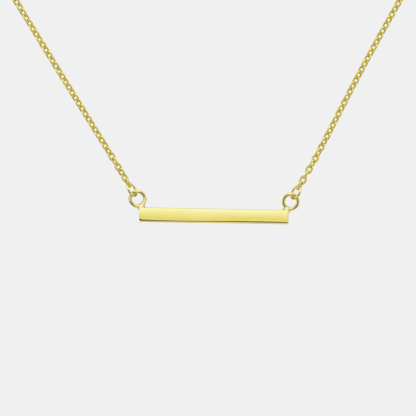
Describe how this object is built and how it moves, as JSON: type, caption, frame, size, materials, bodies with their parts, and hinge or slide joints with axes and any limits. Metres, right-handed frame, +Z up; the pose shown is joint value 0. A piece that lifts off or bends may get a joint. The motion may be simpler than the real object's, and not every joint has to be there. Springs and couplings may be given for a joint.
{
  "type": "bar pendant necklace",
  "caption": "Plain polished bar with an eye at each top corner, hung level from a fine oval-link cable chain that closes behind the neck with a ring clasp.",
  "frame": {"origin": "middle of the neck that the necklace is worn on, level with the chain at the neck's two sides", "axes": "+X to the right as seen from the front, +Y to the nape, +Z up along the neck"},
  "size_m": [0.1052, 0.0951, 0.0875],
  "materials": {
    "polished_gold": "polished yellow gold, mirror bright",
    "ring_gold": "polished yellow gold wire",
    "chain_gold": "polished yellow gold wire, slightly softened by wear"
  },
  "bodies": {
    "necklace": {"left_jump_ring": "ring_gold", "right_jump_ring": "ring_gold", "left_chain": "chain_gold", "right_chain": "chain_gold", "left_back_chain": "chain_gold", "right_back_chain": "chain_gold", "clasp": "polished_gold", "catch_ring": "ring_gold"},
    "pendant": {"bar": "polished_gold"}
  },
  "joints": [
    {"name": "bar_swing", "type": "hinge", "parent": "necklace", "child": "pendant", "pos_m": [-0.01477, -0.046, -0.06247], "axis": [0.9999, 0, -0.017], "range_deg": [-20, 45]}
  ]
}
